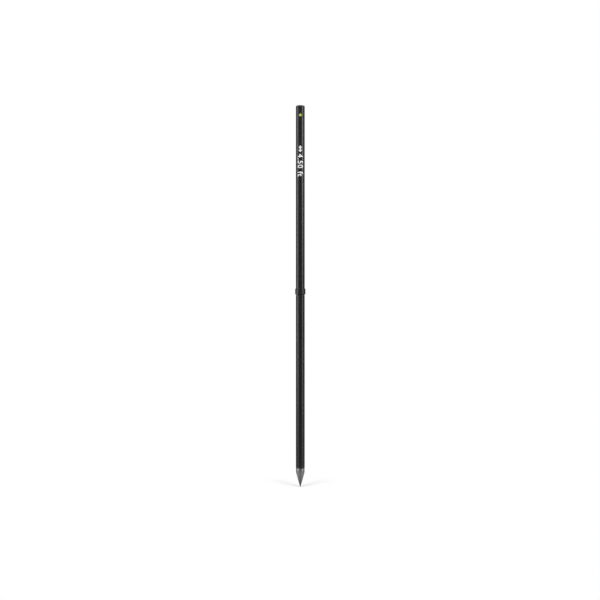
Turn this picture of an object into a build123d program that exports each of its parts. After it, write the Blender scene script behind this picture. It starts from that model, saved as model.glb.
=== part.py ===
from build123d import *
import math
import os

# Two-section survey pole with a screwed ground point and a push-button socket at the top.
# Millimetres. The tip of the point is the origin, +Z runs up the pole, the button faces -Y.

# Pole tubes
tube_od = 32.0
tube_wall = 2.0
lower_tube_length = 612.6
upper_tube_length = 668.9

# Clearances, all radial or per side
bond_gap = 0.05
thread_clearance = 0.05
running_clearance = 0.1
slide_clearance = 0.3
edge_break = 0.4

# Ground point and its screwed shank
point_od = 31.0
cone_length = 52.8
band_length = 15.3
point_shoulder_height = 2.0
point_shoulder_depth = 0.7
nose_radius = 1.4
shank_d = 12.0
shank_pitch = 1.75
shank_turns = 10
shank_lead_in = 6.0
relief_depth = 1.1
relief_length = 3.0

# Foot insert under the lower tube
point_washer_thickness = 1.0
point_washer_inset = 0.6
washer_clearance = 0.3
foot_flange = 5.7
shank_end_room = 3.0
foot_floor = 16.0
drill_point_angle = 118.0

# Screwed joint between the two sections
stud_d = 15.875
joint_pitch = 25.4 / 11
joint_turns = 10
stud_seat_depth = 40.0
stud_chamfer = 1.6
lower_flange = 3.6
lower_floor = 10.0
pilot_d = 20.0
pilot_height = 4.0
pilot_end_room = 0.4
stud_pin_d = 4.0
stud_pin_inset = 1.0
stud_pin_drop = 20.0
joint_washer_thickness = 1.6
joint_washer_inset = 1.5
upper_flange = 4.0
stud_end_room = 21.0
thread_bush_wall = 1.5
thread_bush_lip = 2.5
thread_bush_lip_height = 3.0

# Ring round the foot of the upper tube
collar_wall = 2.6
collar_length = 21.4
collar_round = 1.0

# Head with its spigot socket
head_flange = 6.5
head_plug_length = 55.0
head_round = 2.5
head_seam = 0.6
socket_d = 12.0
socket_floor = 9.5
socket_mouth = 1.0

# Latch plate and its springs
latch_travel = 2.4
latch_thickness = 5.0
latch_width = 18.0
latch_rear_wall = 2.55
latch_end_room = 0.4
release_clearance = 0.2
spring_spread = 10.8
spring_wire = 0.4
spring_od = 3.0
spring_pocket_d = 3.4
spring_length = 6.6
spring_turns = 6
spring_end_gap = 0.05
spring_points_per_turn = 24

# Release button
button_drop = 35.8
button_d = 9.4
button_proud = 0.8
button_dome = 0.5
button_edge = 0.5
button_shoulder = 0.9
shoulder_thickness = 1.2
shoulder_gap = 0.2
bush_length = 3.0
bush_wall = 1.5
button_screw_d = 3.0
button_screw_in_plate = 2.4
button_screw_in_button = 3.0

# Radii that several pieces share
tube_r = tube_od / 2
plug_r = tube_r - tube_wall - bond_gap
point_r = point_od / 2
shank_r = shank_d / 2
stud_r = stud_d / 2
pilot_r = pilot_d / 2
thread_bush_r = stud_r + thread_clearance + thread_bush_wall
socket_r = socket_d / 2
button_r = button_d / 2
bush_bore_r = button_r + running_clearance
bush_r = bush_bore_r + bush_wall

# Heights, stacked from the tip upwards
band_top = cone_length + band_length
foot_bottom = band_top + point_washer_thickness
lower_tube_bottom = foot_bottom + foot_flange
lower_tube_top = lower_tube_bottom + lower_tube_length
lower_flange_top = lower_tube_top + lower_flange
seam = lower_flange_top + joint_washer_thickness
upper_tube_bottom = seam + upper_flange
upper_tube_top = upper_tube_bottom + upper_tube_length
pole_top = upper_tube_top + head_flange

shank_top = foot_bottom + shank_lead_in + shank_turns * shank_pitch
foot_bore_top = shank_top + shank_end_room
thread_bottom = lower_flange_top + pilot_height + pilot_end_room
stud_top = thread_bottom + joint_turns * joint_pitch
stud_bottom = lower_flange_top - stud_seat_depth
upper_plug_top = stud_top + stud_end_room
head_plug_bottom = upper_tube_top - head_plug_length
socket_bottom = head_plug_bottom + socket_floor
button_height = pole_top - button_drop

# Stations of the latch along -Y, measured out from the pole's axis
bush_inner_face = tube_r - bush_length
shoulder_front = bush_inner_face - shoulder_gap
latch_front = shoulder_front - shoulder_thickness
shoulder_pocket_floor = latch_front - latch_travel - latch_end_room
button_face = tube_r + button_proud

# Latch plate, concentric with its own hole, and the slot behind it
latch_hole_r = socket_r + release_clearance
slot_rear_r = plug_r - latch_rear_wall
latch_r = slot_rear_r - latch_end_room
spring_x = spring_spread / 2
spring_pocket_r = spring_pocket_d / 2
spring_seat = math.sqrt(slot_rear_r**2 - (spring_x - spring_od / 2) ** 2)
spring_foot = spring_seat - spring_length

# The button and its bush lie across the pole: local Y points out of the front
button_plane = Plane(origin=(0, 0, button_height), x_dir=(1, 0, 0), z_dir=(0, 0, -1))
button_axis = Axis((0, 0, button_height), (0, -1, 0))


def turned(*corners):
    """Solid of revolution about the pole's axis from (radius, height) corners."""
    outline = Polyline(*corners, close=True)
    return revolve(Plane.XZ * make_face(outline), Axis.Z)


def across(radius, start, end, x=0):
    """Cylinder along -Y at the button's height, between two distances from the pole's axis."""
    disc = Pos(x, -start, button_height) * Rot(90, 0, 0) * Circle(radius)
    return extrude(disc, end - start)


def drill_tip(radius):
    """Height of the cone that a drill leaves at the end of a blind hole."""
    return radius / math.tan(math.radians(drill_point_angle / 2))


def make_ground_point():
    reach = cone_length - nose_radius
    half_angle = math.atan2(point_r, reach) - math.asin(nose_radius / math.hypot(point_r, reach))
    nose = CenterArc((0, nose_radius), nose_radius, -90, 90 - math.degrees(half_angle))
    relief_r = shank_r - relief_depth
    relief_top = foot_bottom + relief_length
    side = Polyline(
        nose @ 1,
        (point_r, cone_length),
        (point_r, band_top - point_shoulder_height),
        (point_r - point_shoulder_depth, band_top),
        (relief_r, band_top),
        (relief_r, relief_top),
        (shank_r, relief_top + relief_depth),
        (shank_r, shank_top - relief_depth),
        (relief_r, shank_top),
        (0, shank_top),
        (0, 0),
    )
    return revolve(Plane.XZ * make_face(nose + side), Axis.Z)


def make_point_washer():
    outer_r = point_r - point_shoulder_depth - point_washer_inset
    inner_r = shank_r + washer_clearance
    return turned(
        (inner_r, band_top),
        (outer_r, band_top),
        (outer_r, foot_bottom),
        (inner_r, foot_bottom),
    )


def make_foot_insert():
    bore_r = shank_r + thread_clearance
    plug_top = foot_bore_top + foot_floor
    return turned(
        (bore_r + edge_break, foot_bottom),
        (tube_r - edge_break, foot_bottom),
        (tube_r, foot_bottom + edge_break),
        (tube_r, lower_tube_bottom),
        (plug_r, lower_tube_bottom),
        (plug_r, plug_top - edge_break),
        (plug_r - edge_break, plug_top),
        (0, plug_top),
        (0, foot_bore_top + drill_tip(bore_r)),
        (bore_r, foot_bore_top),
        (bore_r, foot_bottom + edge_break),
    )


def make_tube(bottom, top):
    inner_r = tube_r - tube_wall
    return turned((inner_r, bottom), (tube_r, bottom), (tube_r, top), (inner_r, top))


def stud_pin_hole(clearance):
    half_length = plug_r + edge_break
    pin_height = lower_flange_top - stud_pin_drop
    disc = Pos(-half_length, 0, pin_height) * Rot(0, 90, 0) * Circle(stud_pin_d / 2 + clearance)
    return extrude(disc, 2 * half_length)


def make_lower_coupler():
    bore_r = stud_r + thread_clearance
    plug_bottom = stud_bottom - lower_floor
    pilot_top = lower_flange_top + pilot_height
    body = turned(
        (0, plug_bottom),
        (plug_r - edge_break, plug_bottom),
        (plug_r, plug_bottom + edge_break),
        (plug_r, lower_tube_top),
        (tube_r, lower_tube_top),
        (tube_r, lower_flange_top - edge_break),
        (tube_r - edge_break, lower_flange_top),
        (pilot_r, lower_flange_top),
        (pilot_r, pilot_top - edge_break),
        (pilot_r - edge_break, pilot_top),
        (bore_r, pilot_top),
        (bore_r, stud_bottom),
        (0, stud_bottom),
    )
    return body - stud_pin_hole(bond_gap)


def make_joint_stud():
    root_r = stud_r - stud_chamfer
    body = turned(
        (0, stud_bottom),
        (root_r, stud_bottom),
        (stud_r, stud_bottom + stud_chamfer),
        (stud_r, stud_top - stud_chamfer),
        (root_r, stud_top),
        (0, stud_top),
    )
    return body - stud_pin_hole(bond_gap)


def make_stud_pin():
    half_length = plug_r - stud_pin_inset
    pin_height = lower_flange_top - stud_pin_drop
    disc = Pos(-half_length, 0, pin_height) * Rot(0, 90, 0) * Circle(stud_pin_d / 2)
    pin = extrude(disc, 2 * half_length)
    ends = pin.edges().filter_by(GeomType.CIRCLE)
    return chamfer(ends, edge_break)


def make_joint_washer():
    outer_r = tube_r - joint_washer_inset
    inner_r = pilot_r + washer_clearance
    return turned(
        (inner_r, lower_flange_top),
        (outer_r, lower_flange_top),
        (outer_r, seam),
        (inner_r, seam),
    )


def make_upper_coupler():
    pilot_bore_r = pilot_r + running_clearance
    bush_seat_r = thread_bush_r + bond_gap
    return turned(
        (pilot_bore_r + edge_break, seam),
        (tube_r, seam),
        (tube_r, upper_tube_bottom),
        (plug_r, upper_tube_bottom),
        (plug_r, upper_plug_top),
        (bush_seat_r, upper_plug_top),
        (bush_seat_r, thread_bottom),
        (pilot_bore_r, thread_bottom),
        (pilot_bore_r, seam + edge_break),
    )


def make_thread_bush():
    bore_r = stud_r + thread_clearance
    lip_r = thread_bush_r + thread_bush_lip
    lip_top = upper_plug_top + thread_bush_lip_height
    return turned(
        (bore_r + edge_break, thread_bottom),
        (thread_bush_r, thread_bottom),
        (thread_bush_r, upper_plug_top),
        (lip_r, upper_plug_top),
        (lip_r, lip_top - edge_break),
        (lip_r - edge_break, lip_top),
        (bore_r, lip_top),
        (bore_r, thread_bottom + edge_break),
    )


def make_joint_collar():
    inner_r = tube_r + bond_gap
    outer_r = inner_r + collar_wall
    top = seam + collar_length
    ring = turned((inner_r, seam), (outer_r, seam), (outer_r, top), (inner_r, top))
    rims = ring.edges().filter_by(GeomType.CIRCLE).sort_by(SortBy.RADIUS)[-2:]
    return fillet(rims, min(collar_round, collar_wall - edge_break))


def make_upper_tube():
    button_hole = across(bush_r + bond_gap, 0, tube_od)
    return make_tube(upper_tube_bottom, upper_tube_top) - button_hole


def latch_slot():
    """Space for the plate: a round rear end, and open towards the front for its assembly."""
    slot_width = latch_width + 2 * slide_clearance
    slot_height = latch_thickness + 2 * slide_clearance
    rear = Circle(slot_rear_r) & Rectangle(slot_width, tube_od)
    mouth = Pos(0, -tube_r / 2) * Rectangle(slot_width, tube_r)
    floor = Pos(0, 0, button_height - slot_height / 2)
    return extrude(floor * (rear + mouth), slot_height)


def make_head_housing():
    body = turned(
        (0, head_plug_bottom),
        (plug_r - edge_break, head_plug_bottom),
        (plug_r, head_plug_bottom + edge_break),
        (plug_r, upper_tube_top),
        (tube_r - head_seam, upper_tube_top),
        (tube_r, upper_tube_top + head_seam),
        (tube_r, pole_top),
        (socket_r + socket_mouth, pole_top),
        (socket_r, pole_top - socket_mouth),
        (socket_r, socket_bottom),
        (0, socket_bottom - drill_tip(socket_r)),
    )
    rim = body.edges().filter_by(GeomType.CIRCLE).group_by(Axis.Z)[-1].sort_by(SortBy.RADIUS)[-1]
    body = fillet(rim, head_round)
    body -= latch_slot()
    body -= across(bush_r + bond_gap, shoulder_pocket_floor, tube_r)
    for x in (-spring_x, spring_x):
        body -= across(spring_pocket_r, -spring_seat, 0, x)
    return body


def make_latch_plate():
    front = Pos(0, tube_r - latch_front) * Rectangle(latch_width, tube_od)
    ring = Pos(0, -latch_travel) * (Circle(latch_r) - Circle(latch_hole_r))
    floor = Pos(0, 0, button_height - latch_thickness / 2)
    plate = extrude(floor * (ring & front), latch_thickness)
    plate -= across(button_screw_d / 2, latch_front - button_screw_in_plate, tube_r)
    for x in (-spring_x, spring_x):
        plate -= across(spring_pocket_r, -tube_r, -spring_foot, x)
    return plate


def spring_path(x):
    """Helix along Y as pairs of tangent arcs, two for each half turn."""
    mean_r = (spring_od - spring_wire) / 2
    first = spring_foot + spring_wire / 2 + spring_end_gap
    last = spring_seat - spring_wire / 2 - spring_end_gap
    rise = (last - first) / (2 * math.pi * spring_turns)

    def point(turn):
        along = first + rise * turn
        return Vector(x + mean_r * math.cos(turn), along, button_height + mean_r * math.sin(turn))

    def heading(turn):
        return Vector(-mean_r * math.sin(turn), rise, mean_r * math.cos(turn)).normalized()

    arcs = []
    for step in range(2 * spring_turns):
        start, end = step * math.pi, (step + 1) * math.pi
        chord = point(end) - point(start)
        headings = heading(start) + heading(end)
        # Equal tangent lengths at both ends let the two arcs meet smoothly
        a = headings.dot(headings) - 4
        b = -2 * chord.dot(headings)
        c = chord.dot(chord)
        tangent = (-b - math.sqrt(b * b - 4 * a * c)) / (2 * a)
        before = point(start) + heading(start) * tangent
        after = point(end) - heading(end) * tangent
        middle = (before + after) * 0.5
        arcs.append(Edge.make_tangent_arc(point(start), heading(start), middle))
        arcs.append(Edge.make_tangent_arc(middle, (after - middle).normalized(), point(end)))
    return Wire(arcs)


def least_turn_gap(path):
    """Smallest clear space between the spring's turns, corner to corner of the square wire."""
    steps = spring_turns * spring_points_per_turn
    points = [path @ (step / steps) for step in range(steps + 1)]
    apart = []
    for index, point in enumerate(points):
        for other in points[index + spring_points_per_turn // 2:]:
            apart.append((other - point).length)
    return min(apart) - math.sqrt(2) * spring_wire


def make_latch_spring(x):
    """Spring of square wire behind the latch plate."""
    path = spring_path(x)
    print(f"latch spring at x {x:+.1f}: least gap between turns {least_turn_gap(path):.2f} mm")
    section = Plane(origin=path @ 0, z_dir=path % 0) * Rectangle(spring_wire, spring_wire)
    return sweep(section, path=path)


def make_button_bush():
    sleeve = across(bush_r, bush_inner_face, tube_od) - across(bush_bore_r, 0, tube_od)
    return sleeve & turned((0, 0), (tube_r, 0), (tube_r, pole_top), (0, pole_top))


def make_release_button():
    shoulder_r = button_r + button_shoulder
    rim = button_face - button_dome
    screw_r = button_screw_d / 2
    screw_end = latch_front + button_screw_in_button
    dome_r = button_r - button_edge
    lower = Polyline(
        (0, button_face),
        (0, screw_end),
        (screw_r, screw_end),
        (screw_r, latch_front),
        (shoulder_r, latch_front),
        (shoulder_r, shoulder_front),
        (button_r, shoulder_front),
        (button_r, rim - button_edge),
    )
    edge = TangentArc((button_r, rim - button_edge), (dome_r, rim), tangent=(0, 1))
    dome = TangentArc((0, button_face), (dome_r, rim), tangent=(1, 0))
    return revolve(button_plane * make_face(lower + edge + dome), button_axis)


def make_button_screw():
    return across(
        button_screw_d / 2,
        latch_front - button_screw_in_plate,
        latch_front + button_screw_in_button,
    )


pieces = {
    "ground_point": make_ground_point(),
    "point_washer": make_point_washer(),
    "foot_insert": make_foot_insert(),
    "lower_tube": make_tube(lower_tube_bottom, lower_tube_top),
    "lower_coupler": make_lower_coupler(),
    "joint_stud": make_joint_stud(),
    "stud_pin": make_stud_pin(),
    "joint_washer": make_joint_washer(),
    "upper_coupler": make_upper_coupler(),
    "thread_bush": make_thread_bush(),
    "joint_collar": make_joint_collar(),
    "upper_tube": make_upper_tube(),
    "head_housing": make_head_housing(),
    "latch_plate": make_latch_plate(),
    "latch_spring_left": make_latch_spring(-spring_x),
    "latch_spring_right": make_latch_spring(spring_x),
    "button_bush": make_button_bush(),
    "release_button": make_release_button(),
    "button_screw": make_button_screw(),
}

os.makedirs("parts", exist_ok=True)
for node, piece in pieces.items():
    export_step(piece, f"parts/{node}.step")
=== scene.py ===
import math
from functools import cache

import bmesh
import bpy
from bpy.props import FloatProperty, FloatVectorProperty, IntProperty, PointerProperty
from mathutils import Matrix, Vector


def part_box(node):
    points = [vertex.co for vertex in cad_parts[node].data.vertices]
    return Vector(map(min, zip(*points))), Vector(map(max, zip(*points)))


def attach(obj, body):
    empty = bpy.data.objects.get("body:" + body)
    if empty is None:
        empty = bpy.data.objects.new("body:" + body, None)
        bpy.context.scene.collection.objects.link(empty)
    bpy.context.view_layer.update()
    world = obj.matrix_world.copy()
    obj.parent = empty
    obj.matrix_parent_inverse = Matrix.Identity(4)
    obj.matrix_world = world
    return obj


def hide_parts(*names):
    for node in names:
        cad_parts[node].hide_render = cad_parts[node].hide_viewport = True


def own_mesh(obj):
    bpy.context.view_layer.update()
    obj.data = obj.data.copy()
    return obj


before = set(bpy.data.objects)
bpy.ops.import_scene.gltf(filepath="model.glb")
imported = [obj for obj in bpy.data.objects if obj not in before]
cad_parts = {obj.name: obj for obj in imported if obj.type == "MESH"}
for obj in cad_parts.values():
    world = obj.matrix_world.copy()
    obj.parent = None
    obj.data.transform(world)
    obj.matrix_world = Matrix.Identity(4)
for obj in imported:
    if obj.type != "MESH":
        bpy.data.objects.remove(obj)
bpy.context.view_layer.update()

bl_info = {
    "name": "Survey pole",
    "version": (1, 0, 0),
    "blender": (4, 5, 0),
    "location": "View3D > Sidebar > Survey pole",
    "description": "Finishes, threads, springs, height marks and a studio for a two-section survey pole",
    "category": "Object",
}

TURN = 2 * math.pi
INCH = 0.0254
FOOT = 12 * INCH
SHARP = 35
TINY = 1e-7
MERGED = 2e-6
NOISE_RANGE = (0.3, 0.7)
TUBE_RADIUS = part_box("upper_tube")[1].x
POLE_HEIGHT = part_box("head_housing")[1].z
POINT_BAND_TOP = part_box("point_washer")[0].z
BUTTON_HEIGHT = sum(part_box("release_button"), Vector()).z / 2


def colour_property(name, description, default):
    return FloatVectorProperty(
        name=name, description=description, subtype="COLOR", size=3, min=0, max=1, default=default
    )


def length_property(name, description, default):
    return FloatProperty(name=name, description=description, unit="LENGTH", precision=5, default=default)


def power_property(name, description, default):
    return FloatProperty(name=name, description=description, unit="POWER", default=default)


class PoleFinish(bpy.types.PropertyGroup):
    """Colours and grain of the pole's surfaces."""

    # The two tow colours differ as painted sheen: tows of one black fibre look lighter or darker by how
    # their direction meets the light.
    warp_sheen_colour: colour_property("Lengthwise tows", "Carbon tows along the pole", (0.008, 0.008, 0.0086))
    weft_sheen_colour: colour_property("Hoop tows", "Carbon tows round the pole", (0.014, 0.014, 0.0146))
    # Gaps: partly the resin between the tows, partly painted shade that darkens each tow from its rounded
    # crown to its edges.
    gap_and_crown_shade: colour_property("Gaps", "Resin between the tows", (0.003, 0.003, 0.003))
    carbon_scuff: colour_property("Scuffed clear coat", "Short scuffs on the tubes", (0.06, 0.06, 0.06))
    tows_round: IntProperty(name="Tows round the tube", description="Count of tows in the twill", default=48)
    anodised: colour_property("Black anodising", "Turned aluminium fittings", (0.009, 0.009, 0.0095))
    bare_aluminium: colour_property("Bare aluminium", "Shows where edges are rubbed", (0.3, 0.3, 0.31))
    point_steel: colour_property("Point steel", "Turned ground point", (0.272, 0.272, 0.277))
    plated_steel: colour_property("Plated steel", "Stud, bush, pin and button screw", (0.5, 0.5, 0.49))
    latch_steel: colour_property("Latch steel", "Latch plate", (0.42, 0.42, 0.43))
    spring_steel: colour_property("Spring steel", "Springs behind the latch", (0.45, 0.44, 0.42))
    button: colour_property("Button plastic", "Yellow-green release button", (0.455, 0.515, 0.085))
    button_scuff: colour_property("Scuffed button", "Pale scuffs on the button", (0.7, 0.72, 0.5))
    nylon: colour_property("Black nylon", "Washers and the button's bush", (0.008, 0.008, 0.008))
    ink: colour_property("White ink", "Height marks on the upper tube", (0.8, 0.8, 0.79))


class PoleSizes(bpy.types.PropertyGroup):
    """Sizes that the boxes of the frame's nodes leave open."""

    tube_wall: length_property("Tube wall", "Thickness of the carbon tubes", 0.002)
    tube_bevel: length_property("Tube bevel", "Broken edges at the tubes' ends", 0.00015)
    cone_height: length_property("Cone height", "From the tip to the point's band", 0.0528)
    cone_edge: length_property("Cone edge", "Broken edge between cone and band", 0.00025)
    nose_radius: length_property("Nose radius", "Rounding of the tip", 0.0014)
    shoulder_height: length_property("Shoulder height", "Sloping top of the point's band", 0.002)
    shoulder_depth: length_property("Shoulder depth", "How far the shoulder draws in", 0.0007)
    shank_radius: length_property("Shank radius", "M12 shank of the point", 0.006)
    shank_relief: length_property("Shank relief", "Depth of the undercut below the thread", 0.0011)
    shank_undercut: length_property("Shank undercut", "Height of that undercut", 0.004)
    stud_chamfer: length_property("Stud chamfer", "At both ends of the joint stud", 0.0016)
    spring_wire: length_property("Spring wire", "Radius of the latch springs' wire", 0.0002)
    button_radius: length_property("Button radius", "Of the button's cap", 0.0047)
    button_dome: length_property("Button dome", "Rise of the cap's face", 0.0005)
    button_edge: length_property("Button edge", "Rounding of the cap's rim", 0.0005)
    button_shoulder: length_property("Button shoulder", "Thickness of the flange behind the bush", 0.0012)


class PoleThreads(bpy.types.PropertyGroup):
    """Screw threads of the joint and of the point."""

    joint_pitch: length_property("Joint pitch", "Pitch of the 5/8-11 stud", INCH / 11)
    point_pitch: length_property("Point pitch", "Pitch of the M12 shank", 0.00175)
    depth_share: FloatProperty(name="Depth share", description="Thread depth over pitch", default=0.6)
    crest_share: FloatProperty(name="Crest share", description="Flat crest over pitch", default=0.125)
    steps: IntProperty(name="Steps in a turn", description="Facets round one turn", default=72)


class PoleMarks(bpy.types.PropertyGroup):
    """The pole's height in feet, printed down the front of the upper tube."""

    figures_top: length_property("Top of the figures", "Height above the tip", 1.197)
    figures_run: length_property("Run of the figures", "Their length down the pole", 0.081)
    figures_size: length_property("Size of the figures", "Their height round the tube", 0.02)
    figures_weight: length_property("Weight", "Added all round each stroke", 0.0006)
    figures_spacing: FloatProperty(name="Spacing", description="Share of the font's spacing", default=1.18)
    arrow_top: length_property("Top of the arrow", "Height above the tip", 1.227)
    arrow_run: length_property("Run of the arrow", "Its length down the pole", 0.024)
    arrow_width: length_property("Width of the arrow", "Across its heads", 0.014)
    ink: length_property("Ink", "How far the ink stands proud", 0.00004)


class PoleStudio(bpy.types.PropertyGroup):
    """Camera and lamps."""

    camera_distance: length_property("Camera distance", "From the pole's axis", 2.8)
    camera_height: length_property("Camera height", "Above the floor", 0.673)
    camera_left: length_property("Camera offset", "To the left of the pole", 0.0011)
    view_width: length_property("View width", "Width of the picture at the pole", 2.1624)
    key_power: power_property("Key power", "Two high front lamps", 110)
    left_power: power_property("Left strip", "Tall lamp on the left", 26)
    right_power: power_property("Right strip", "Tall lamp on the right", 21.5)


class PoleSettings(bpy.types.PropertyGroup):
    """All that a user may change on the survey pole."""

    finish: PointerProperty(type=PoleFinish)
    sizes: PointerProperty(type=PoleSizes)
    threads: PointerProperty(type=PoleThreads)
    marks: PointerProperty(type=PoleMarks)
    studio: PointerProperty(type=PoleStudio)


class Nodes:
    """A node tree whose nodes take numbers, colours or sockets as inputs."""

    def __init__(self, tree):
        self.tree = tree

    def add(self, kind, inputs=None, **settings):
        node = self.tree.nodes.new(kind)
        for name, value in settings.items():
            setattr(node, name, value)
        for name, value in (inputs or {}).items():
            self.feed(node.inputs[name], value)
        return node

    def feed(self, socket, value):
        if isinstance(value, bpy.types.NodeSocket):
            self.tree.links.new(value, socket)
        elif socket.type == "RGBA":
            socket.default_value = (*value, 1)
        else:
            socket.default_value = value

    def math(self, operation, *values):
        node = self.add("ShaderNodeMath", operation=operation)
        for socket, value in zip(node.inputs, values):
            self.feed(socket, value)
        return node.outputs[0]

    def vary(self, base, *changes):
        """A base value plus each mask times its amount."""
        total = base
        for mask, amount in changes:
            total = self.math("MULTIPLY_ADD", mask, amount, total)
        return total

    def span(self, value, low, high, start=0.0, end=1.0):
        """Value taken smoothly from low..high to start..end."""
        inputs = {"Value": value, "From Min": low, "From Max": high, "To Min": start, "To Max": end}
        return self.add("ShaderNodeMapRange", inputs, interpolation_type="SMOOTHSTEP").outputs["Result"]

    def mix(self, share, first, second):
        """Value between first and second."""
        return self.add("ShaderNodeMix", {0: share, 2: first, 3: second}, data_type="FLOAT").outputs[0]

    def blend(self, share, first, second):
        """Colour between first and second."""
        return self.add("ShaderNodeMix", {0: share, 6: first, 7: second}, data_type="RGBA").outputs[2]

    def noise(self, vector, per_metre, detail):
        inputs = {"Vector": vector, "Scale": per_metre, "Detail": detail}
        return self.add("ShaderNodeTexNoise", inputs).outputs["Fac"]

    def where(self):
        """Place on the piece at rest."""
        return self.add("ShaderNodeTexCoord").outputs["Object"]

    def axes(self):
        """The same place as X, Y and Z."""
        return self.add("ShaderNodeSeparateXYZ", {"Vector": self.where()}).outputs[:]

    def bump(self, height, distance, strength):
        inputs = {"Height": height, "Distance": distance, "Strength": strength}
        return self.add("ShaderNodeBump", inputs).outputs["Normal"]

    def group(self, tree, **inputs):
        return self.add("ShaderNodeGroup", inputs, node_tree=tree).outputs


def shade(colour, factor):
    """A colour made darker or lighter."""
    return [min(1, part * factor) for part in colour]


def effect_group(name, inputs, outputs):
    """Empty shader node group with float sockets, and its input and output sockets."""
    tree = bpy.data.node_groups.new(name, "ShaderNodeTree")
    for label in inputs:
        tree.interface.new_socket(label, in_out="INPUT", socket_type="NodeSocketFloat")
    for label in outputs:
        tree.interface.new_socket(label, in_out="OUTPUT", socket_type="NodeSocketFloat")
    nodes = Nodes(tree)
    return nodes, nodes.add("NodeGroupInput").outputs, nodes.add("NodeGroupOutput").inputs


@cache
def twill_weave():
    """Twill wrapped round the pole: which tow lies on top, its rounded height and its fibres."""
    nodes, given, made = effect_group("Twill weave", ("Tows", "Radius"), ("Warp", "Height", "Fibre"))
    tows_in_repeat, tows_over, fibres_in_tow, half = 4, 2, 9, 0.5

    def wave(tows, count):
        return nodes.math("SINE", nodes.math("MULTIPLY", tows, count * TURN))

    x, y, z = nodes.axes()
    turn = nodes.math("DIVIDE", nodes.math("ARCTAN2", x, nodes.math("MULTIPLY", y, -1)), TURN)
    round_tows = nodes.math("MULTIPLY", turn, given["Tows"])
    tow_width = nodes.math("DIVIDE", nodes.math("MULTIPLY", given["Radius"], TURN), given["Tows"])
    along_tows = nodes.math("DIVIDE", z, tow_width)
    step = nodes.math("ADD", nodes.math("FLOOR", round_tows), nodes.math("FLOOR", along_tows))
    warp = nodes.math("LESS_THAN", nodes.math("FLOORED_MODULO", step, tows_in_repeat), tows_over - half)
    crown_round = wave(nodes.math("FRACT", round_tows), half)
    crown_along = wave(nodes.math("FRACT", along_tows), half)
    fibres_along = wave(along_tows, fibres_in_tow)
    fibres_round = wave(round_tows, fibres_in_tow)
    nodes.feed(made["Warp"], warp)
    nodes.feed(made["Height"], nodes.mix(warp, crown_along, crown_round))
    nodes.feed(made["Fibre"], nodes.mix(warp, fibres_along, fibres_round))
    return nodes.tree


@cache
def turned_marks():
    """Fine rings that a lathe tool leaves round the pole's axis, on walls and on end faces."""
    nodes, given, made = effect_group("Turned marks", ("Spacing",), ("Height", "Streak"))
    streaks_to_rings, ring_detail, streak_detail = 0.07, 2.0, 1.0

    def rings(feed, detail):
        inputs = {"W": feed, "Scale": 1.0, "Detail": detail}
        return nodes.add("ShaderNodeTexNoise", inputs, noise_dimensions="1D").outputs["Fac"]

    x, y, z = nodes.axes()
    square = nodes.math("ADD", nodes.math("MULTIPLY", x, x), nodes.math("MULTIPLY", y, y))
    radius = nodes.math("SQRT", square)
    feed = nodes.math("DIVIDE", nodes.math("ADD", z, radius), given["Spacing"])
    nodes.feed(made["Height"], rings(feed, ring_detail))
    nodes.feed(made["Streak"], rings(nodes.math("MULTIPLY", feed, streaks_to_rings), streak_detail))
    return nodes.tree


@cache
def handling_wear():
    """Smudges and short scuffs from hands, bags and the ground."""
    nodes, given, made = effect_group("Handling wear", ("Size",), ("Smudge", "Scuff"))
    drawn_along = (1.0, 1.0, 0.22)
    where = nodes.where()

    def spots(vector, per_metre, detail, low, high):
        grain = nodes.noise(vector, nodes.math("DIVIDE", per_metre, given["Size"]), detail)
        return nodes.span(grain, low, high)

    drawn = nodes.add("ShaderNodeVectorMath", {0: where, 1: drawn_along}, operation="MULTIPLY").outputs[0]
    smudge = spots(where, per_metre=38.0, detail=4.0, low=0.35, high=0.7)
    scuff = spots(drawn, per_metre=520.0, detail=5.0, low=0.6, high=0.72)
    patch = spots(where, per_metre=19.0, detail=2.0, low=0.5, high=0.68)
    nodes.feed(made["Smudge"], smudge)
    nodes.feed(made["Scuff"], nodes.math("MULTIPLY", scuff, patch))
    return nodes.tree


@cache
def rubbed_edges():
    """Edges where the finish is rubbed through, broken up along their length."""
    nodes, given, made = effect_group("Rubbed edges", ("Reach", "Gaps"), ("Mask",))
    rounded = nodes.add("ShaderNodeBevel", {"Radius": given["Reach"]}, samples=6).outputs["Normal"]
    flat = nodes.add("ShaderNodeNewGeometry").outputs["Normal"]
    alike = nodes.add("ShaderNodeVectorMath", {0: rounded, 1: flat}, operation="DOT_PRODUCT")
    edge = nodes.span(alike.outputs["Value"], low=0.985, high=0.9)
    worn = nodes.span(nodes.noise(nodes.where(), given["Gaps"], detail=4), low=0.4, high=0.65)
    nodes.feed(made["Mask"], nodes.math("MULTIPLY", edge, worn))
    return nodes.tree


def new_material(name):
    material = bpy.data.materials.new(name)
    material.use_nodes = True
    return material, Nodes(material.node_tree), material.node_tree.nodes["Principled BSDF"].inputs


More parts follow.
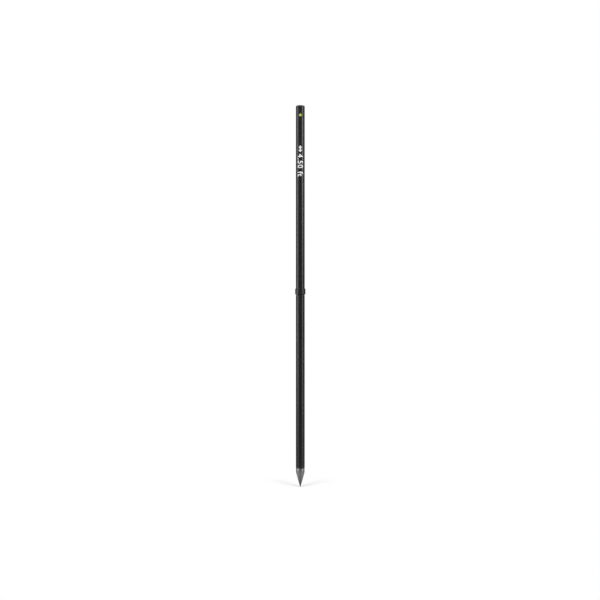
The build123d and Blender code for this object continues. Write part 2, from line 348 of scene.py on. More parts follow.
def carbon_finish(finish):
    """Woven carbon under a satin clear coat, with painted sheen between the tow directions and painted shade
    over each tow's crown.
    """
    roughness, warp_polish, smudge_dulling = 0.3, -0.03, 0.06
    scuff_strength, fibre_height = 0.35, 0.08
    material, nodes, shader = new_material("Satin carbon twill")
    weave = nodes.group(twill_weave(), Tows=finish.tows_round, Radius=TUBE_RADIUS)
    wear = nodes.group(handling_wear(), Size=1.6)
    # Lengthwise and hoop tows get different colours: painted sheen for how each direction of fibre catches
    # the light.
    tows = nodes.blend(weave["Warp"], finish.weft_sheen_colour, finish.warp_sheen_colour)
    # Painted shade over each tow's rounded crown, darkest in the resin gaps between the tows.
    crown_shaded = nodes.blend(weave["Height"], finish.gap_and_crown_shade, tows)
    scuffed = nodes.math("MULTIPLY", wear["Scuff"], scuff_strength)
    nodes.feed(shader["Base Color"], nodes.blend(scuffed, crown_shaded, finish.carbon_scuff))
    satin = nodes.vary(roughness, (weave["Warp"], warp_polish), (wear["Smudge"], smudge_dulling))
    nodes.feed(shader["Roughness"], satin)
    relief = nodes.vary(weave["Height"], (weave["Fibre"], fibre_height))
    nodes.feed(shader["Normal"], nodes.bump(relief, distance=0.00002, strength=0.3))
    shader["Specular IOR Level"].default_value = 0.45
    return material


def anodised_finish(finish):
    """Black anodised aluminium with lathe rings and rubbed edges."""
    roughness, smudge_dulling, scuff_dulling = 0.33, 0.08, 0.1
    light_streak, rub_strength = 1.35, 0.55
    material, nodes, shader = new_material("Black anodised aluminium")
    turned = nodes.group(turned_marks(), Spacing=0.0005)
    wear = nodes.group(handling_wear(), Size=1.0)
    edges = nodes.group(rubbed_edges(), Reach=0.0009, Gaps=300)
    dye = nodes.blend(turned["Streak"], finish.anodised, shade(finish.anodised, light_streak))
    rub = nodes.math("MULTIPLY", edges["Mask"], rub_strength)
    nodes.feed(shader["Base Color"], nodes.blend(rub, dye, finish.bare_aluminium))
    nodes.feed(shader["Metallic"], rub)
    dulled = nodes.vary(roughness, (wear["Smudge"], smudge_dulling), (wear["Scuff"], scuff_dulling))
    nodes.feed(shader["Roughness"], dulled)
    nodes.feed(shader["Normal"], nodes.bump(turned["Height"], distance=0.00003, strength=0.8))
    shader["Specular IOR Level"].default_value = 0.45
    return material


def turned_steel_finish(name, colour, roughness, ring_spacing, painted_tip_shade=0.0):
    """Turned steel with lathe rings, handling marks and, on the point, painted shade that darkens it towards
    the tip.
    """
    dark_streak, light_streak, scuff_shade, painted_tip_shade_factor = 0.82, 1.15, 0.45, 0.35
    scuff_strength, smudge_dulling, tip_reach = 0.5, 0.1, 0.9
    material, nodes, shader = new_material(name)
    turned = nodes.group(turned_marks(), Spacing=ring_spacing)
    wear = nodes.group(handling_wear(), Size=0.8)
    streaked = nodes.blend(turned["Streak"], shade(colour, dark_streak), shade(colour, light_streak))
    scuffed = nodes.math("MULTIPLY", wear["Scuff"], scuff_strength)
    surface = nodes.blend(scuffed, streaked, shade(colour, scuff_shade))
    # Painted shade: the point's colour darkens from its band towards the tip.
    if painted_tip_shade:
        height = nodes.axes()[2]
        tip = nodes.span(height, low=POINT_BAND_TOP * tip_reach, high=0.0, end=painted_tip_shade)
        surface = nodes.blend(tip, surface, shade(colour, painted_tip_shade_factor))
    nodes.feed(shader["Base Color"], surface)
    nodes.feed(shader["Roughness"], nodes.vary(roughness, (wear["Smudge"], smudge_dulling)))
    nodes.feed(shader["Normal"], nodes.bump(turned["Height"], distance=0.00003, strength=0.8))
    shader["Metallic"].default_value = 1.0
    return material


def wire_finish(finish):
    """Drawn spring wire."""
    dark, roughness = 0.75, (0.2, 0.34)
    material, nodes, shader = new_material("Drawn spring wire")
    drawn = nodes.noise(nodes.where(), per_metre=2600, detail=2)
    steel = finish.spring_steel
    nodes.feed(shader["Base Color"], nodes.blend(drawn, shade(steel, dark), steel))
    nodes.feed(shader["Roughness"], nodes.span(drawn, *NOISE_RANGE, *roughness))
    shader["Metallic"].default_value = 1.0
    return material


def button_finish(finish):
    """Yellow-green moulded plastic with a fine spark-eroded grain."""
    smudge_shade, scuff_strength, roughness = 0.86, 0.3, (0.4, 0.52)
    material, nodes, shader = new_material("Yellow-green button plastic")
    wear = nodes.group(handling_wear(), Size=0.35)
    grain = nodes.noise(nodes.where(), per_metre=5200, detail=3)
    tone = nodes.blend(wear["Smudge"], finish.button, shade(finish.button, smudge_shade))
    scuffed = nodes.math("MULTIPLY", wear["Scuff"], scuff_strength)
    nodes.feed(shader["Base Color"], nodes.blend(scuffed, tone, finish.button_scuff))
    nodes.feed(shader["Roughness"], nodes.span(grain, *NOISE_RANGE, *roughness))
    nodes.feed(shader["Normal"], nodes.bump(grain, distance=0.00004, strength=0.7))
    return material


def nylon_finish(finish):
    """Black moulded nylon."""
    smudge_shade, roughness = 1.7, (0.55, 0.68)
    material, nodes, shader = new_material("Black nylon")
    wear = nodes.group(handling_wear(), Size=0.6)
    grain = nodes.noise(nodes.where(), per_metre=3600, detail=2)
    tone = nodes.blend(wear["Smudge"], finish.nylon, shade(finish.nylon, smudge_shade))
    nodes.feed(shader["Base Color"], tone)
    nodes.feed(shader["Roughness"], nodes.span(grain, *NOISE_RANGE, *roughness))
    nodes.feed(shader["Normal"], nodes.bump(grain, distance=0.00002, strength=0.4))
    shader["Specular IOR Level"].default_value = 0.15
    return material


def ink_finish(finish):
    """White screen-printed ink, thinned where hands rub it."""
    smudge_shade, smudge_strength, scuff_strength, roughness = 0.7, 0.25, 0.5, (0.42, 0.56)
    material, nodes, shader = new_material("White printed ink")
    wear = nodes.group(handling_wear(), Size=0.7)
    screen = nodes.noise(nodes.where(), per_metre=4200, detail=2)
    smudged = nodes.math("MULTIPLY", wear["Smudge"], smudge_strength)
    scuffed = nodes.math("MULTIPLY", wear["Scuff"], scuff_strength)
    tone = nodes.blend(smudged, finish.ink, shade(finish.ink, smudge_shade))
    nodes.feed(shader["Base Color"], nodes.blend(scuffed, tone, finish.weft_sheen_colour))
    nodes.feed(shader["Roughness"], nodes.span(screen, *NOISE_RANGE, *roughness))
    nodes.feed(shader["Normal"], nodes.bump(screen, distance=0.00001, strength=0.4))
    return material


def dress(node, material):
    """Gives a CAD node its finish."""
    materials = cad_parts[node].data.materials
    materials.clear()
    materials.append(material)


def clean(shape):
    """Merges corners that fall together and removes faces that have no area."""
    bmesh.ops.remove_doubles(shape, verts=shape.verts, dist=MERGED)
    bmesh.ops.dissolve_degenerate(shape, edges=shape.edges, dist=MERGED)


def piece(name, shape, material, body, replaced=None, sharp=SHARP):
    """Turns a bmesh into a piece that rides on a body, and stands for a CAD node if one is named."""
    bmesh.ops.recalc_face_normals(shape, faces=shape.faces)
    mesh = bpy.data.meshes.new(name)
    shape.to_mesh(mesh)
    shape.free()
    mesh.shade_smooth()
    mesh.set_sharp_from_angle(angle=math.radians(sharp))
    mesh.materials.append(material)
    made = bpy.data.objects.new(name, mesh)
    bpy.context.scene.collection.objects.link(made)
    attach(made, body)
    if replaced:
        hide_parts(replaced)
    return made


def bore(made, radius, middle, direction, depth, segments=80):
    """Cuts a round hole into a piece."""
    shape = bmesh.new()
    aim = Vector(direction).to_track_quat("Z", "Y").to_matrix().to_4x4()
    bmesh.ops.create_cone(
        shape, cap_ends=True, segments=segments, radius1=radius, radius2=radius, depth=depth,
        matrix=Matrix.Translation(middle) @ aim,
    )
    mesh = bpy.data.meshes.new("drill")
    shape.to_mesh(mesh)
    shape.free()
    drill = bpy.data.objects.new("drill", mesh)
    bpy.context.scene.collection.objects.link(drill)
    cut = made.modifiers.new("Bore", "BOOLEAN")
    cut.object = drill
    cut.operation = "DIFFERENCE"
    bpy.context.view_layer.update()
    evaluated = made.evaluated_get(bpy.context.evaluated_depsgraph_get())
    drilled = bpy.data.meshes.new_from_object(evaluated)
    made.modifiers.clear()
    made.data = drilled
    bpy.data.objects.remove(drill)
    shape = bmesh.new()
    shape.from_mesh(drilled)
    clean(shape)
    shape.to_mesh(drilled)
    shape.free()
    drilled.set_sharp_from_angle(angle=math.radians(SHARP))


def turned_shape(profile, segments, hollow=False):
    """Revolves (radius, height) corners about the pole's axis. A hollow profile closes on itself."""
    shape = bmesh.new()
    angles = [TURN * i / segments for i in range(segments)]
    rings = []
    for radius, height in profile:
        if radius < TINY:
            rings.append([shape.verts.new((0, 0, height))] * segments)
        else:
            corners = [(radius * math.sin(a), -radius * math.cos(a), height) for a in angles]
            rings.append([shape.verts.new(corner) for corner in corners])
    uppers = rings[1:] + rings[:1] if hollow else rings[1:]
    for lower, upper in zip(rings, uppers):
        for i in range(segments):
            k = (i + 1) % segments
            corners = dict.fromkeys((lower[i], lower[k], upper[k], upper[i]))
            shape.faces.new(list(corners))
    return shape


def everything(shape):
    return shape.verts[:] + shape.edges[:] + shape.faces[:]


def cut_ends(shape, low, high):
    """Cuts a shape flat at two heights and closes it there."""
    for height, outward in ((low, -1), (high, 1)):
        bmesh.ops.bisect_plane(
            shape, geom=everything(shape), clear_outer=True,
            plane_co=(0, 0, height), plane_no=(0, 0, outward),
        )
        cut = [edge for edge in shape.edges if all(abs(v.co.z - height) < TINY for v in edge.verts)]
        bmesh.ops.holes_fill(shape, edges=[edge for edge in cut if edge.is_boundary])


def thread_shape(radius, pitch, low, high, chamfer, threads):
    """Right-handed 60 degree thread whose grid follows its own helix, chamfered at both ends."""
    depth = threads.depth_share * pitch
    flank_angle = math.radians(30)
    flank_share = threads.depth_share * math.tan(flank_angle)
    root_share = 1 - threads.crest_share - 2 * flank_share
    crest_start = root_share + flank_share
    crest_end = crest_start + threads.crest_share
    root, crest = radius - depth, radius
    profile = ((0, root), (root_share, root), (crest_start, crest), (crest_end, crest))
    shape = bmesh.new()
    turns = math.ceil((high - low) / pitch) + 2
    lines = []
    for step in range(turns * threads.steps + 1):
        angle = TURN * step / threads.steps
        start = low - pitch + pitch * step / threads.steps
        corners = [(r * math.cos(angle), r * math.sin(angle), start + share * pitch) for share, r in profile]
        lines.append([shape.verts.new(corner) for corner in corners])
    for first, second in zip(lines, lines[1:]):
        for k in range(len(profile) - 1):
            shape.faces.new((first[k], second[k], second[k + 1], first[k + 1]))
    pairs = list(zip(lines, lines[1:]))
    for (first, second), (next_first, next_second) in zip(pairs, pairs[threads.steps:]):
        shape.faces.new((first[-1], second[-1], next_second[0], next_first[0]))
    cut_ends(shape, low, high)
    for vert in shape.verts:
        room = radius - chamfer + min(vert.co.z - low, high - vert.co.z)
        reach = math.hypot(vert.co.x, vert.co.y)
        if reach > room:
            vert.co.x *= room / reach
            vert.co.y *= room / reach
    clean(shape)
    return shape


def spring_shape(x, low, high, height, mean_radius, wire_radius, turns, sides=10, steps=28):
    """Compression spring along Y with one closed coil at each end."""
    coil_gap = 0.02
    closed = 2 * wire_radius * (1 + coil_gap)
    start, end = low + wire_radius, high - wire_radius
    open_pitch = (end - start - 2 * closed) / (turns - 2)

    def outward(turn):
        return Vector((math.cos(TURN * turn), 0, math.sin(TURN * turn)))

    def centre(turn):
        if turn <= 1:
            along = start + closed * turn
        elif turn >= turns - 1:
            along = end - closed * (turns - turn)
        else:
            along = start + closed + open_pitch * (turn - 1)
        return Vector((x, along, height)) + mean_radius * outward(turn)

    shape = bmesh.new()
    nudge = 0.01
    rings = []
    for step in range(turns * steps + 1):
        turn = step / steps
        heading = (centre(min(turn + nudge, turns)) - centre(max(turn - nudge, 0))).normalized()
        side = heading.cross(outward(turn)).normalized()
        rise = side.cross(heading)
        angles = [TURN * i / sides for i in range(sides)]
        spokes = [rise * math.cos(a) + side * math.sin(a) for a in angles]
        rings.append([shape.verts.new(centre(turn) + wire_radius * spoke) for spoke in spokes])
    for first, second in zip(rings, rings[1:]):
        for i in range(sides):
            k = (i + 1) % sides
            shape.faces.new((first[i], first[k], second[k], second[i]))
    shape.faces.new(rings[0])
    shape.faces.new(rings[-1])
    return shape


class SURVEYPOLE_OT_tubes(bpy.types.Operator):
    """Makes the two carbon tubes, the upper one with the button's hole"""

    bl_idname = "survey_pole.tubes"
    bl_label = "Carbon tubes"

    segments = 160
    hole_clearance = 0.00005

    def execute(self, context):
        settings = context.scene.survey_pole
        material = carbon_finish(settings.finish)
        self.tube("lower_tube", "lower_section", material, settings.sizes)
        upper = self.tube("upper_tube", "upper_section", material, settings.sizes)
        low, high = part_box("button_bush")
        radius = (high.x - low.x) / 2 + self.hole_clearance
        bore(upper, radius, (0, -TUBE_RADIUS, BUTTON_HEIGHT), (0, -1, 0), TUBE_RADIUS)
        return {"FINISHED"}

    def tube(self, node, body, material, sizes):
        low, high = (corner.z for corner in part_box(node))
        outer, inner, bevel = TUBE_RADIUS, TUBE_RADIUS - sizes.tube_wall, sizes.tube_bevel
        profile = (
            (inner, low), (outer - bevel, low), (outer, low + bevel),
            (outer, high - bevel), (outer - bevel, high), (inner, high),
        )
        shape = turned_shape(profile, self.segments, hollow=True)
        return piece(f"carbon_{node}", shape, material, body, node)


class SURVEYPOLE_OT_fittings(bpy.types.Operator):
    """Finishes the turned aluminium fittings: foot, couplers, collar and head"""

    bl_idname = "survey_pole.fittings"
    bl_label = "Aluminium fittings"

    plain = ("lower_coupler", "upper_coupler", "joint_collar")
    drilled = ("foot_insert", "head_housing")

    def execute(self, context):
        material = anodised_finish(context.scene.survey_pole.finish)
        for node in self.plain + self.drilled:
            dress(node, material)
        for node in self.drilled:
            self.close_drill_point(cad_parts[node])
        return {"FINISHED"}

    def close_drill_point(self, fitting):
        """Joins the corners that meet where the drill's cone ends, and keeps the sharp edges sharp."""
        fitting.modifiers.new("Joined corners", "WELD").merge_threshold = MERGED
        fitting.modifiers.new("Sharp edges", "EDGE_SPLIT").split_angle = math.radians(SHARP)


class SURVEYPOLE_OT_ground_point(bpy.types.Operator):
    """Makes the steel ground point with its screwed shank"""

    bl_idname = "survey_pole.ground_point"
    bl_label = "Ground point"

    segments = 144
    nose_steps = 8
    thread_overlap = 0.0005

    def execute(self, context):
        settings = context.scene.survey_pole
        sizes, threads = settings.sizes, settings.threads
        steel = settings.finish.point_steel
        # The point's steel gets painted shade, darker towards the tip.
        material = turned_steel_finish(
            "Turned point steel", steel, roughness=0.4, ring_spacing=0.0004, painted_tip_shade=0.85
        )
        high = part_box("ground_point")[1]
        thread_low = POINT_BAND_TOP + sizes.shank_undercut
        shape = turned_shape(self.profile(sizes, high.x, thread_low), self.segments)
        piece("steel_ground_point", shape, material, "ground_point", "ground_point", sharp=20)
        thread = thread_shape(
            sizes.shank_radius, threads.point_pitch, thread_low, high.z, sizes.shank_relief, threads
        )
        piece("point_shank_thread", thread, material, "ground_point")
        return {"FINISHED"}

    def profile(self, sizes, band_radius, thread_low):
        """Rounded nose, cone, band with its shoulder, and the undercut below the thread."""
        nose, cone, edge = sizes.nose_radius, sizes.cone_height, sizes.cone_edge
        reach = cone - nose
        half_angle = math.atan2(band_radius, reach) - math.asin(nose / math.hypot(band_radius, reach))
        arc = [(math.pi / 2 - half_angle) * i / self.nose_steps for i in range(self.nose_steps + 1)]
        undercut = sizes.shank_radius - sizes.shank_relief
        return [
            *((nose * math.sin(a), nose - nose * math.cos(a)) for a in arc),
            (band_radius - edge * math.sin(half_angle), cone - edge * math.cos(half_angle)),
            (band_radius, cone + edge),
            (band_radius, POINT_BAND_TOP - sizes.shoulder_height),
            (band_radius - sizes.shoulder_depth, POINT_BAND_TOP),
            (undercut, POINT_BAND_TOP),
            (undercut, thread_low + self.thread_overlap),
            (0, thread_low + self.thread_overlap),
        ]


class SURVEYPOLE_OT_joint_screw(bpy.types.Operator):
    """Makes the threaded joint stud with its cross hole, and finishes the other plated pieces"""

    bl_idname = "survey_pole.joint_screw"
    bl_label = "Joint screw"

    pin_clearance = 0.00005

    def execute(self, context):
        settings = context.scene.survey_pole
        sizes, threads = settings.sizes, settings.threads
        steel = settings.finish.plated_steel
        material = turned_steel_finish("Plated steel", steel, roughness=0.3, ring_spacing=0.0003)
        low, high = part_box("joint_stud")
        thread = thread_shape(high.x, threads.joint_pitch, low.z, high.z, sizes.stud_chamfer, threads)
        stud = piece("threaded_joint_stud", thread, material, "lower_section", "joint_stud")
        pin_low, pin_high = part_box("stud_pin")
        radius = (pin_high.z - pin_low.z) / 2 + self.pin_clearance
        bore(stud, radius, (pin_low + pin_high) / 2, (1, 0, 0), pin_high.x - pin_low.x)
        for node in ("stud_pin", "thread_bush", "button_screw"):
            dress(node, material)
        return {"FINISHED"}


class SURVEYPOLE_OT_latch(bpy.types.Operator):
    """Finishes the latch plate and winds the two springs behind it"""

    bl_idname = "survey_pole.latch"
    bl_label = "Latch and springs"

    turns = 8
    clearance = 0.00008

    def execute(self, context):
        settings = context.scene.survey_pole
        steel = settings.finish.latch_steel
        dress("latch_plate", turned_steel_finish("Latch steel", steel, roughness=0.32, ring_spacing=0.0003))
        material = wire_finish(settings.finish)
        wire = settings.sizes.spring_wire
        for side in ("left", "right"):
            node = f"latch_spring_{side}"
            low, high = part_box(node)
            middle = (low + high) / 2
            mean_radius = (high.z - low.z) / 2 - wire - self.clearance
            shape = spring_shape(middle.x, low.y, high.y, middle.z, mean_radius, wire, self.turns)
            made = piece(f"wound_{node}", shape, material, "upper_section", node, sharp=60)
            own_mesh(made)
        return {"FINISHED"}


class SURVEYPOLE_OT_button(bpy.types.Operator):
    """Makes the release button and finishes its bush and the nylon washers"""

    bl_idname = "survey_pole.button"
    bl_label = "Release button and washers"

    segments = 96
    dome_steps = 10
    edge_steps = 6

    def execute(self, context):
        settings = context.scene.survey_pole
        shape = turned_shape(self.profile(settings.sizes), self.segments)
        facing_front = Matrix.Translation((0, 0, BUTTON_HEIGHT)) @ Matrix.Rotation(math.pi / 2, 4, "X")
        shape.transform(facing_front)
        plastic = button_finish(settings.finish)
        piece("moulded_release_button", shape, plastic, "release_latch", "release_button")
        nylon = nylon_finish(settings.finish)
        for node in ("button_bush", "joint_washer", "point_washer"):
            dress(node, nylon)
        return {"FINISHED"}

    def profile(self, sizes):
        """Screw hole, shoulder, cap with a rounded rim and a low dome, from the back to the face."""
        low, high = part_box("release_button")
        screw_low, screw_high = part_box("button_screw")
        face, back = -low.y, -high.y
        radius, edge, dome = sizes.button_radius, sizes.button_edge, sizes.button_dome
        rim = face - dome
        shoulder_front = back + sizes.button_shoulder
        dome_radius = ((radius - edge) ** 2 + dome ** 2) / (2 * dome)
        dome_angle = math.asin((radius - edge) / dome_radius)
        quarter = [math.pi / 2 * i / self.edge_steps for i in range(self.edge_steps)]
        arc = [dome_angle * (1 - i / self.dome_steps) for i in range(self.dome_steps + 1)]
        return [
            (0, -screw_low.y),
            (screw_high.x, -screw_low.y),
            (screw_high.x, back),
            (high.x, back),
            (high.x, shoulder_front),
            (radius, shoulder_front),
            *((radius - edge + edge * math.cos(a), rim - edge + edge * math.sin(a)) for a in quarter),
            *((dome_radius * math.sin(a), face - dome_radius * (1 - math.cos(a))) for a in arc),
        ]


class SURVEYPOLE_OT_height_marks(bpy.types.Operator):
    """Prints the pole's height in feet down the upper tube, under an arrow that means height"""

    bl_idname = "survey_pole.height_marks"
    bl_label = "Height marks"

    slice_width = 0.0006
    blunt_corner = 0.00007
    head_share = 0.55
    shaft_share = 0.16

    def execute(self, context):
        settings = context.scene.survey_pole
        marks = settings.marks
        shape = bmesh.new()
        self.figures(shape, f"{POLE_HEIGHT / FOOT:.2f} ft", marks)
        self.embolden(shape, marks.figures_weight)
        self.arrow(shape, marks.arrow_top, marks.arrow_run, marks.arrow_width)
        self.wrap(shape, marks.ink)
        ink = ink_finish(settings.finish)
        piece("printed_height_marks", shape, ink, "upper_section", sharp=60)
        return {"FINISHED"}

    def arrow(self, shape, top, run, width):
        """Arrow with a head at both ends, as three flat faces that share their corners."""
        head, shaft = width * self.head_share, width * self.shaft_share
        ends = []
        for tip, base in ((top, top - head), (top - run, top - run + head)):
            corners = ((0, tip), (-width / 2, base), (-shaft, base), (shaft, base), (width / 2, base))
            ends.append([shape.verts.new((x, 0, z)) for x, z in corners])
            shape.faces.new(ends[-1])
        upper, lower = ends
        shape.faces.new((upper[2], upper[3], lower[3], lower[2]))

    def figures(self, shape, text, marks):
        """Flat figures that read down the pole, fitted to their run and size less the weight to come."""
        weight = marks.figures_weight
        curve = bpy.data.curves.new("figures", "FONT")
        curve.body = text
        curve.space_character = marks.figures_spacing
        flat = bpy.data.objects.new("figures", curve)
        bpy.context.scene.collection.objects.link(flat)
        bpy.context.view_layer.update()
        mesh = bpy.data.meshes.new_from_object(flat.evaluated_get(bpy.context.evaluated_depsgraph_get()))
        along = [v.co.x for v in mesh.vertices]
        up = [v.co.y for v in mesh.vertices]
        stretch = (marks.figures_run - 2 * weight) / (max(along) - min(along))
        rise = (marks.figures_size - 2 * weight) / (max(up) - min(up))
        for vert in mesh.vertices:
            x = (vert.co.y - (max(up) + min(up)) / 2) * rise
            vert.co = (x, 0, marks.figures_top - weight - (vert.co.x - min(along)) * stretch)
        shape.from_mesh(mesh)
        bpy.data.objects.remove(flat)
        bpy.data.meshes.remove(mesh)

    def embolden(self, shape, weight):
        """Moves the figures' outlines outward, once blunt corners are closed to sharp ones."""
        bmesh.ops.remove_doubles(shape, verts=shape.verts, dist=self.blunt_corner)
        shape.normal_update()
        sides = {}
        for edge in shape.edges:
            if edge.is_boundary:
                loop = edge.link_loops[0]
                start, end = loop.vert, loop.link_loop_next.vert
                outward = (end.co - start.co).normalized().cross(loop.face.normal)
                sides.setdefault(start, []).append(outward)
                sides.setdefault(end, []).append(outward)
        for vert, (first, second) in sides.items():
            vert.co += weight * (first + second) / (1 + first.dot(second))

    def wrap(self, shape, ink):
        """Slices the flat print, rolls it round the tube and gives it the ink's thickness."""
        clean(shape)
        reach = math.ceil(max(abs(v.co.x) for v in shape.verts) / self.slice_width)
        for i in range(-reach, reach + 1):
            place = (i * self.slice_width, 0, 0)
            bmesh.ops.bisect_plane(shape, geom=everything(shape), plane_co=place, plane_no=(1, 0, 0))
        clean(shape)
        back = bmesh.ops.extrude_face_region(shape, geom=shape.faces[:])
        sunk = {v for v in back["geom"] if isinstance(v, bmesh.types.BMVert)}
        for vert in shape.verts:
            radius = TUBE_RADIUS + (-ink if vert in sunk else ink)
            angle = vert.co.x / TUBE_RADIUS
            vert.co = (radius * math.sin(angle), -radius * math.cos(angle), vert.co.z)


class SURVEYPOLE_OT_stage(bpy.types.Operator):
    """Sets up the floor, the pale surround, the lamps and the camera"""

    bl_idname = "survey_pole.stage"
    bl_label = "Studio"

    floor_radius = 3.2
    floor_segments = 96
    floor_light = 0.62
    floor_paleness = 0.8
    shadow_reach = (0.04, 0.22)
    shadow_depth = 0.53
    contact_reach = (0.05, 0.015)
    contact_depth = 0.47
    fill = 0.2
    mirrored_front = 0.125
    mirrored_side = 0.11
    # Brightness of the pools of light painted on the floor, as the pole mirrors them.
    painted_pools_in_mirrors = 0.85
    mirrored_foot = 0.55
    front_to_side = (-0.7, -0.1)
    side_to_behind = (0.85, 1.0)
    painted_pool_starts = (-0.92, -0.65)
    painted_pool_ends = (0.1, -0.2)
    foot_reach = (0.5, 0.15)
    key_azimuths = {"key_left": -43, "key_right": 43}
    key_distance = 4.0
    key_height = 5.0
    key_size = 1.5
    key_aim = (0, 0, 0.3)
    strip_distance = 2.0
    left_low_share = 0.19
    right_low_share = 0.35

    def execute(self, context):
        studio = context.scene.survey_pole.studio
        floor = self.floor()
        self.surround(context.scene)
        self.keys(studio)
        self.strips(studio, floor)
        self.camera(context.scene, studio)
        context.scene.view_settings.view_transform = "Standard"
        return {"FINISHED"}

    def mirrored_level(self, nodes, back):
        """How bright the pole mirrors its surround: dim in front and beside it, white straight behind."""
        beside = nodes.span(back, *self.front_to_side, self.mirrored_front, self.mirrored_side)
        return nodes.math("ADD", beside, nodes.span(back, *self.side_to_behind, 0.0, 1 - self.mirrored_side))

    def floor(self):
        shape = bmesh.new()
        bmesh.ops.create_circle(shape, cap_ends=True, segments=self.floor_segments, radius=self.floor_radius)
        mesh = bpy.data.meshes.new("floor")
        shape.to_mesh(mesh)
        shape.free()
        mesh.materials.append(self.floor_material())
        floor = bpy.data.objects.new("floor", mesh)
        bpy.context.scene.collection.objects.link(floor)
        return floor

    def floor_material(self):
        """Pale floor that keeps the shadow near the foot and glows white farther out; in reflections it
        shows painted pools of light beside the pole.
        """
        material = bpy.data.materials.new("Pale floor")
        material.use_nodes = True
        nodes = Nodes(material.node_tree)
        nodes.tree.nodes.clear()
        path = nodes.add("ShaderNodeLightPath").outputs
        away = nodes.add("ShaderNodeVectorMath", {0: nodes.where()}, operation="LENGTH").outputs["Value"]
        back = nodes.math("DIVIDE", nodes.axes()[1], away)
        # Pools of light painted on the floor beside the pole, seen only in its reflections, stand in for the
        # strips' light that the floor is kept from.
        starts, ends = nodes.span(back, *self.painted_pool_starts), nodes.span(back, *self.painted_pool_ends)
        painted_light_pools = nodes.math("MULTIPLY", starts, ends)
        around = nodes.vary(self.mirrored_level(nodes, back), (painted_light_pools, self.painted_pools_in_mirrors))
        foot = nodes.math("MULTIPLY", nodes.span(away, *self.foot_reach), self.mirrored_foot)
        level = nodes.mix(path["Is Glossy Ray"], 1.0, nodes.math("MAXIMUM", around, foot))
        near = nodes.span(away, *self.shadow_reach, 1.0, 0.0)
        deepest = self.shadow_depth + self.contact_depth
        depth = nodes.span(away, *self.contact_reach, self.shadow_depth, deepest)
        share = nodes.math("MULTIPLY", near, depth)
        glow = nodes.math("MULTIPLY", nodes.vary(1.0, (share, -self.floor_light)), level)
        shine = nodes.add("ShaderNodeEmission", {"Strength": glow})
        grey = nodes.blend(nodes.math("MULTIPLY", share, level), (0, 0, 0), (1, 1, 1))
        lit = nodes.add("ShaderNodeBsdfDiffuse", {"Color": grey})
        shown = nodes.add("ShaderNodeAddShader", {0: shine.outputs[0], 1: lit.outputs[0]})
        plain = nodes.add("ShaderNodeBsdfDiffuse", {"Color": [self.floor_paleness] * 3})
        mirrored = nodes.math("MAXIMUM", path["Is Glossy Ray"], path["Is Transmission Ray"])
        seen = nodes.math("MAXIMUM", path["Is Camera Ray"], mirrored)
        either = nodes.add("ShaderNodeMixShader", {0: seen, 1: plain.outputs[0], 2: shown.outputs[0]})
        nodes.add("ShaderNodeOutputMaterial", {"Surface": either.outputs[0]})
        return material

    def surround(self, scene):
        """White where the camera sees it, dimmer in mirrors and as the fill light."""
        world = bpy.data.worlds.new("Pale surround")
        world.use_nodes = True
        nodes = Nodes(world.node_tree)
        nodes.tree.nodes.clear()
        path = nodes.add("ShaderNodeLightPath").outputs
        direction = nodes.add("ShaderNodeTexCoord").outputs["Generated"]
        back = nodes.add("ShaderNodeSeparateXYZ", {"Vector": direction}).outputs["Y"]
        straight = nodes.math("MAXIMUM", path["Is Camera Ray"], path["Is Transmission Ray"])
        unseen = nodes.mix(path["Is Glossy Ray"], self.fill, self.mirrored_level(nodes, back))
        strength = nodes.mix(straight, unseen, 1.0)
        sky = nodes.add("ShaderNodeBackground", {"Color": (1, 1, 1), "Strength": strength})
        nodes.add("ShaderNodeOutputWorld", {"Surface": sky.outputs[0]})
        scene.world = world

    def lamp(self, name, azimuth, distance, height, aim, size, power):
        """Rectangular lamp beside the pole, aimed at a point on its axis."""
        data = bpy.data.lights.new(name, "AREA")
        data.shape = "RECTANGLE"
        data.size, data.size_y = size
        data.energy = power
        lamp = bpy.data.objects.new(name, data)
        a = math.radians(azimuth)
        lamp.location = (distance * math.sin(a), -distance * math.cos(a), height)
        lamp.rotation_euler = (Vector(aim) - lamp.location).to_track_quat("-Z", "Y").to_euler()
        bpy.context.scene.collection.objects.link(lamp)
        return lamp

    def keys(self, studio):
        size, power = (self.key_size, self.key_size), studio.key_power
        for name, azimuth in self.key_azimuths.items():
            self.lamp(name, azimuth, self.key_distance, self.key_height, self.key_aim, size, power)

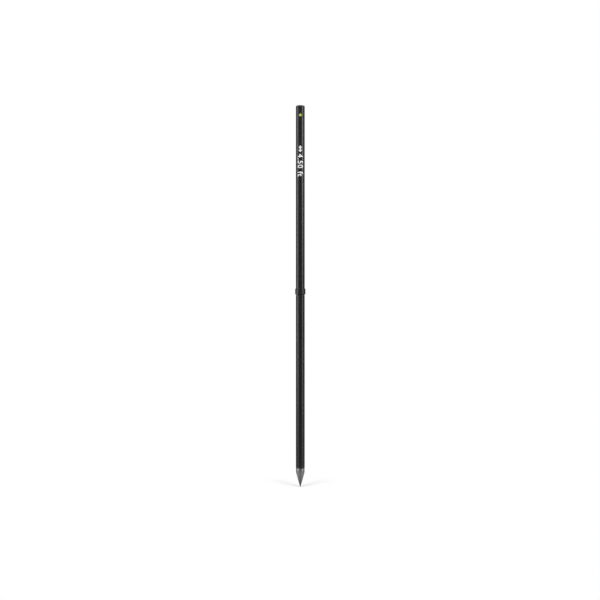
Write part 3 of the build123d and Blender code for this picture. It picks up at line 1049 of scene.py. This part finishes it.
    def strips(self, studio, floor):
        """Tall lamps that draw the tubes' two highlights and leave the floor alone."""
        flagged = bpy.data.collections.new("flagged_off_the_strips")
        flagged.objects.link(floor)
        flagged.collection_objects[0].light_linking.link_state = "EXCLUDE"
        left, right = studio.left_power, studio.right_power
        strips = (
            ("strip_left", -74, 1.0, 0.45, 2.4, left),
            ("strip_left_low", -64, 1.2, 0.03, 0.45, left * self.left_low_share),
            ("strip_right", 63, 0.62, 1.1, 2.5, right),
            ("strip_right_low", 63, 0.62, 0.03, 1.1, right * self.right_low_share),
        )
        for name, azimuth, width, low, high, power in strips:
            middle = (low + high) / 2
            size = (width, high - low)
            strip = self.lamp(name, azimuth, self.strip_distance, middle, (0, 0, middle), size, power)
            strip.light_linking.receiver_collection = flagged

    def camera(self, scene, studio):
        data = bpy.data.cameras.new("camera")
        data.lens = data.sensor_width * studio.camera_distance / studio.view_width
        camera = bpy.data.objects.new("camera", data)
        camera.location = (-studio.camera_left, -studio.camera_distance, studio.camera_height)
        camera.rotation_euler = (math.pi / 2, 0, 0)
        scene.collection.objects.link(camera)
        scene.camera = camera


class SURVEYPOLE_PT_sidebar(bpy.types.Panel):
    """Lists the steps that dress the pole"""

    bl_label = "Survey pole"
    bl_idname = "SURVEYPOLE_PT_sidebar"
    bl_space_type = "VIEW_3D"
    bl_region_type = "UI"
    bl_category = "Survey pole"

    def draw(self, context):
        for operator in OPERATORS:
            self.layout.operator(operator.bl_idname)
        settings = context.scene.survey_pole
        for group in (settings.finish, settings.sizes, settings.threads, settings.marks, settings.studio):
            box = self.layout.box()
            for name in group.__annotations__:
                box.prop(group, name)


GROUPS = (PoleFinish, PoleSizes, PoleThreads, PoleMarks, PoleStudio, PoleSettings)
OPERATORS = (
    SURVEYPOLE_OT_tubes,
    SURVEYPOLE_OT_fittings,
    SURVEYPOLE_OT_ground_point,
    SURVEYPOLE_OT_joint_screw,
    SURVEYPOLE_OT_latch,
    SURVEYPOLE_OT_button,
    SURVEYPOLE_OT_height_marks,
    SURVEYPOLE_OT_stage,
)
CLASSES = (*GROUPS, *OPERATORS, SURVEYPOLE_PT_sidebar)


def register():
    for cls in CLASSES:
        bpy.utils.register_class(cls)
    bpy.types.Scene.survey_pole = PointerProperty(type=PoleSettings)


def unregister():
    del bpy.types.Scene.survey_pole
    for cls in reversed(CLASSES):
        bpy.utils.unregister_class(cls)


def main():
    register()
    bpy.ops.survey_pole.tubes()
    bpy.ops.survey_pole.fittings()
    bpy.ops.survey_pole.ground_point()
    bpy.ops.survey_pole.joint_screw()
    bpy.ops.survey_pole.latch()
    bpy.ops.survey_pole.button()
    bpy.ops.survey_pole.height_marks()
    bpy.ops.survey_pole.stage()


if __name__ == "__main__":
    main()
